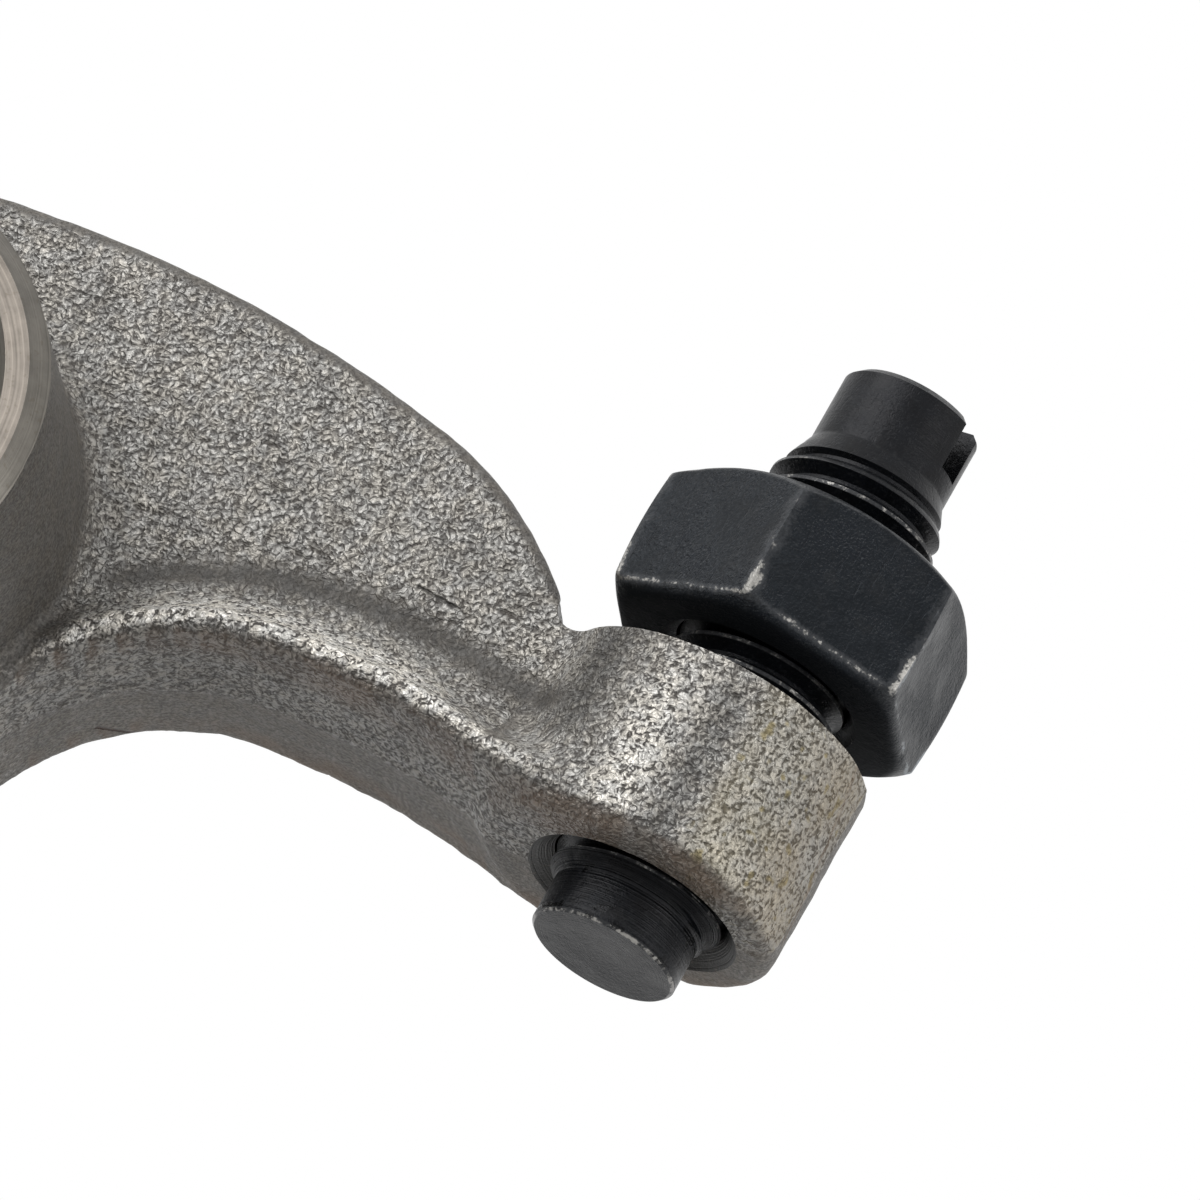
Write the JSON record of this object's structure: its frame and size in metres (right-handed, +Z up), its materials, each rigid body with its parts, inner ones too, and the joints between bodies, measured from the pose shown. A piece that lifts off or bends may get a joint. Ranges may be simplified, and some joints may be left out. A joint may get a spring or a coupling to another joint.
{
  "type": "rocker arm",
  "caption": "Cast valve rocker arm: a tubular hub for the rocker shaft, a flanged web, a rubbing pad for the cam, and an adjusting screw with a hexagonal lock nut at the valve end.",
  "frame": {"origin": "on the axis of the shaft bore, in the middle plane of the web and the adjusting screw", "axes": "+Y along the shaft bore towards the hub's short end, +X towards the adjusting screw, +Z up along the adjusting screw towards its slotted end"},
  "size_m": [0.0791, 0.0235, 0.037],
  "materials": {
    "cast_steel": "shot-blasted as-cast skin, ground end faces",
    "screw_black": "black oxide, oiled",
    "nut_black": "black oxide, worn bright at the corners"
  },
  "bodies": {
    "arm": {"arm_casting": "cast_steel"},
    "screw": {"adjusting_screw": "screw_black"},
    "nut": {"lock_nut": "nut_black"}
  },
  "joints": [
    {"name": "screw_adjust", "type": "slide", "parent": "arm", "child": "screw", "axis": [0, 0, 1], "range_m": [-0.0012, 0.0025]},
    {"name": "nut_run", "type": "slide", "parent": "arm", "child": "nut", "axis": [0, 0, 1], "range_m": [-0.0023, 0.001]}
  ]
}
